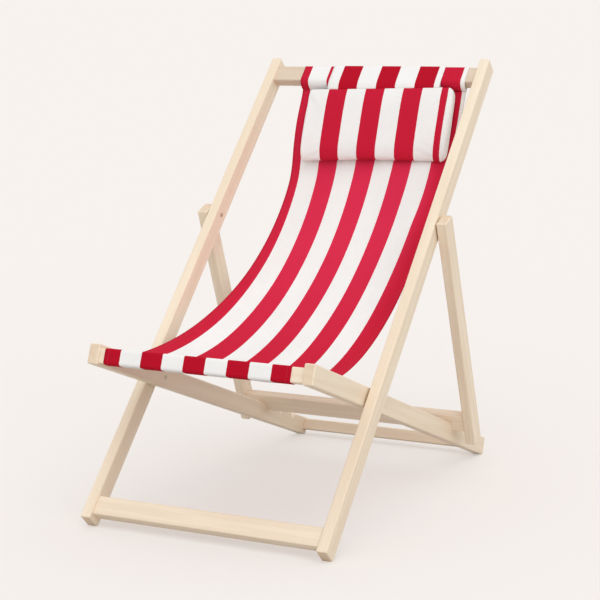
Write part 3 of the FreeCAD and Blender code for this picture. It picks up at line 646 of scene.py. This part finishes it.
# swelling: the sewn cover is blown up by cloth simulation with its seams held, and no point moves further than the cap
def swell(obj, held, p):
    rest = np.empty(len(obj.data.vertices) * 3, np.float32)
    obj.data.vertices.foreach_get("co", rest)
    group = obj.vertex_groups.new(name="seams")
    group.add(np.nonzero(held)[0].tolist(), 1.0, "REPLACE")
    soft = obj.modifiers.new("swell", "CLOTH")
    soft.settings.vertex_group_mass = "seams"
    soft.settings.use_pressure = True
    soft.settings.uniform_pressure_force = p["pressure"]
    soft.settings.effector_weights.gravity = 0.0
    soft.settings.quality = p["quality"]
    soft.collision_settings.use_collision = False
    soft.point_cache.frame_start, soft.point_cache.frame_end = 1, p["frames"]
    scene = bpy.context.scene
    for step in range(1, p["frames"] + 1):
        scene.frame_set(step)
    blown = obj.evaluated_get(bpy.context.evaluated_depsgraph_get()).data
    after = np.empty_like(rest)
    blown.vertices.foreach_get("co", after)
    obj.modifiers.remove(soft)
    obj.vertex_groups.remove(group)
    scene.frame_set(1)
    move = (after - rest).reshape(-1, 3)
    far = np.linalg.norm(move, axis=1, keepdims=True)
    print("swell: mean %.1f mm, most %.1f mm before the cap" % (1000 * far.mean(), 1000 * far.max()))
    move *= np.minimum(1.0, p["cap"] / np.maximum(far, 1e-9))
    obj.data.vertices.foreach_set("co", (rest.reshape(-1, 3) + move).reshape(-1))
    obj.data.update()


# faces outwards, where asked after welding points that lie close together and dropping slivers
def faceOutwards(obj, weld=0.0, sliver=0.0):
    work = bmesh.new()
    work.from_mesh(obj.data)
    if weld:
        bmesh.ops.remove_doubles(work, verts=work.verts, dist=weld)
        bmesh.ops.dissolve_degenerate(work, edges=work.edges, dist=sliver)
    bmesh.ops.recalc_face_normals(work, faces=work.faces)
    work.to_mesh(obj.data)
    work.free()


# boxed cushion: one closed section carried across the chair between two end panels, sewn along both ends and the top
def makePillow(p):
    ring = closedLine(p["section"] * np.array([p["height"], p["thick"]]), p["around"])
    middle = np.array([p["middle"][0] * p["height"], p["middle"][1] * p["thick"]])
    tangent = np.roll(ring, -1, 0) - np.roll(ring, 1, 0)
    away = np.stack([-tangent[:, 1], tangent[:, 0]], -1) / np.linalg.norm(tangent, axis=1, keepdims=True)
    away *= np.sign(np.sum(away * (ring - middle)))
    fromSeam = np.linalg.norm(ring - ring[0], axis=1, keepdims=True)
    away = away * (1 - np.exp(-((fromSeam / p["seamKeep"]) ** 2)))  # the top seam keeps its line
    ring, away = (np.concatenate([line, line[:1]]) for line in (ring, away))
    girth = np.concatenate([[0.0], np.cumsum(np.linalg.norm(np.diff(ring, axis=0), axis=1))])
    half = p["width"] / 2
    share = np.sin(np.linspace(-math.pi / 2, math.pi / 2, p["rows"]))
    # sewn ends are a little smaller than the middle; the loose cloth between the seams starts slack
    drawn = np.stack([1 - least * np.abs(share) ** p["drawnPower"] for least in p["drawn"]], -1)
    loose = np.sqrt(np.clip(1 - share ** p["slackPower"], 0.0, 1.0)) * p["slack"]

    def place(x, flat):
        return np.concatenate([np.broadcast_to(x[:, None, None], flat.shape[:2] + (1,)), flat], -1)
    sections = middle + (ring[None] - middle) * drawn[:, None, :] - away[None] * loose[:, None, None]
    body = place(p["shift"] + share * half, sections)
    across = np.broadcast_to((share[:, None] + 1) * half, body.shape[:2])
    along = np.broadcast_to(girth[None], body.shape[:2])
    stripes = np.stack([2.0 - p["firstWhite"] + across / p["stripe"], along], -1)
    body[[0, -1], :, 0] += np.array([[1], [-1]]) * p["pucker"] * np.sin(girth * 2 * math.pi / p["puckerPitch"])
    parts = [gridPart(body, {"stripes": stripes, "cloth": np.stack([across, along], -1)})]
    held = np.zeros(body.shape[:2])
    held[[0, -1]] = 1.0
    held[:, [0, -1]] = 1.0
    pins = [held.reshape(-1)]
    # an end panel grows from its middle to the sewn rim and bulges out, flat but for its rim
    for end, side, bulge in ((0, -1, p["bulge"][0]), (-1, 1, p["bulge"][1])):
        grow = np.sin(np.linspace(0.0, math.pi / 2, p["panelRows"]))[:, None, None]
        panel = place(p["shift"] + side * (half + bulge * (1 - grow[:, 0, 0] ** p["bulgePower"])),
                      middle + (ring[None] - middle) * grow * drawn[end])
        panel[-1] = body[end]
        depth = p["thick"] - panel[..., 2]
        first, wide = p["panelStripe"]
        panelStripes = np.stack([first + wide * np.clip(depth / p["thick"], 0.0, 1.0), panel[..., 1]], -1)
        panel, panelStripes, depth = (grid[::-side] for grid in (panel, panelStripes, depth))
        parts.append(gridPart(panel, {"stripes": panelStripes, "cloth": np.stack([depth, panel[..., 1]], -1)}))
        edge = np.zeros(panel.shape[:2])
        edge[-1 if side < 0 else 0] = 1.0
        pins.append(edge.reshape(-1))
    obj = meshObject("head_pillow", parts)
    pinned = obj.data.attributes.new("held", "FLOAT", "POINT")
    pinned.data.foreach_set("value", np.concatenate(pins).astype(np.float32))
    faceOutwards(obj, p["weld"], p["sliver"])
    held = np.empty(len(obj.data.vertices), np.float32)
    obj.data.attributes["held"].data.foreach_get("value", held)
    swell(obj, held > 0.5, p)
    # from (across, down, off) into the chair: hung a little askew on the straight back
    flat = np.empty(len(obj.data.vertices) * 3, np.float32)
    obj.data.vertices.foreach_get("co", flat)
    x, down, off = flat.reshape(-1, 3).T.astype(float)
    beside, below = x - p["shift"], down - middle[0]
    yz = onBack(p, down - p["slant"] * beside, off)
    hung = np.concatenate([(x - p["lean"] * below)[:, None], yz], 1)
    obj.data.vertices.foreach_set("co", hung.astype(np.float32).reshape(-1))
    faceOutwards(obj)
    obj.data.attributes.remove(obj.data.attributes["held"])
    obj.data.materials.append(makeCanvas("pillowCanvas", [p["hem"], p["width"] - p["hem"]], []))
    smooth = obj.modifiers.new("softForm", "SUBSURF")
    smooth.levels = smooth.render_levels = 1
    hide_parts("pillow")
    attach(obj, "pillow_body")
    print("pillow made:", len(obj.data.polygons), "faces")


makePillow(pillow)

studio = {"back": (0.9301, 0.8879, 0.8550), "sky": 0.87, "sun": 0.88, "sunFrom": (0.50, -0.62, 0.60), "sunWide": 70.0,
          "floor": 45.0, "selfLit": 0.45, "bounce": 0.62, "palest": 0.99}


# 1 for rays that show the backdrop itself, straight, mirrored or through a clear thing; 0 for light on the chair
def seenBackdrop(tree):
    path = put(tree, "ShaderNodeLightPath").outputs
    mirrored = calc(tree, "MAXIMUM", path["Is Glossy Ray"], path["Is Transmission Ray"])
    return calc(tree, "MAXIMUM", path["Is Camera Ray"], mirrored)


# even pale sky with one broad lamp; the open floor shows the backdrop's own colour and keeps a light shadow
def makeStudio(s):
    scene = bpy.context.scene
    scene.view_settings.view_transform = "Standard"
    world = bpy.data.worlds.new("paleStudio")
    scene.world = world
    world.use_nodes = True
    tree = world.node_tree
    tree.nodes.clear()
    light = put(tree, "ShaderNodeBackground", {"Color": (1, 1, 1, 1), "Strength": s["sky"]}).outputs[0]
    shown = put(tree, "ShaderNodeBackground", {"Color": (*s["back"], 1), "Strength": 1.0}).outputs[0]
    both = put(tree, "ShaderNodeMixShader", {0: seenBackdrop(tree), 1: light, 2: shown}).outputs[0]
    put(tree, "ShaderNodeOutputWorld", {"Surface": both})
    toward = np.array(s["sunFrom"]) / np.linalg.norm(s["sunFrom"])
    lamp = bpy.data.lights.new("broadLamp", "SUN")
    lamp.energy = s["sun"]
    lamp.angle = math.radians(s["sunWide"])
    lampObj = bpy.data.objects.new("broadLamp", lamp)
    side = np.cross([0.0, 0.0, 1.0], toward)
    side /= np.linalg.norm(side)
    turn = np.stack([side, np.cross(toward, side), toward], 1)
    lampObj.matrix_world = Matrix(turn.tolist()).to_4x4()
    scene.collection.objects.link(lampObj)
    level = s["sky"] + s["sun"] * toward[2] / math.pi  # light that falls on the open floor
    reach = s["floor"]
    corners = np.array([[[-reach, -reach, 0], [reach, -reach, 0]], [[-reach, reach, 0], [reach, reach, 0]]], float)
    ground = meshObject("studio_floor", [gridPart(corners, {"cloth": corners[..., :2]})])
    material, tree, surface = newMaterial("paleFloor")
    seen = seenBackdrop(tree)

    def tone(k):
        return (*(min(s["palest"], c * k) for c in s["back"]), 1)
    lit = mixed(tree, seen, tone(s["bounce"]), tone((1 - s["selfLit"]) / level))
    tree.links.new(lit, surface["Base Color"])
    tree.links.new(mixed(tree, seen, (0, 0, 0, 1), tone(s["selfLit"])), surface["Emission Color"])
    surface["Emission Strength"].default_value = 1.0
    surface["Roughness"].default_value = 1.0
    surface["Specular IOR Level"].default_value = 0.0
    ground.data.materials.append(material)
    print("studio level %.3f" % level)


makeStudio(studio)
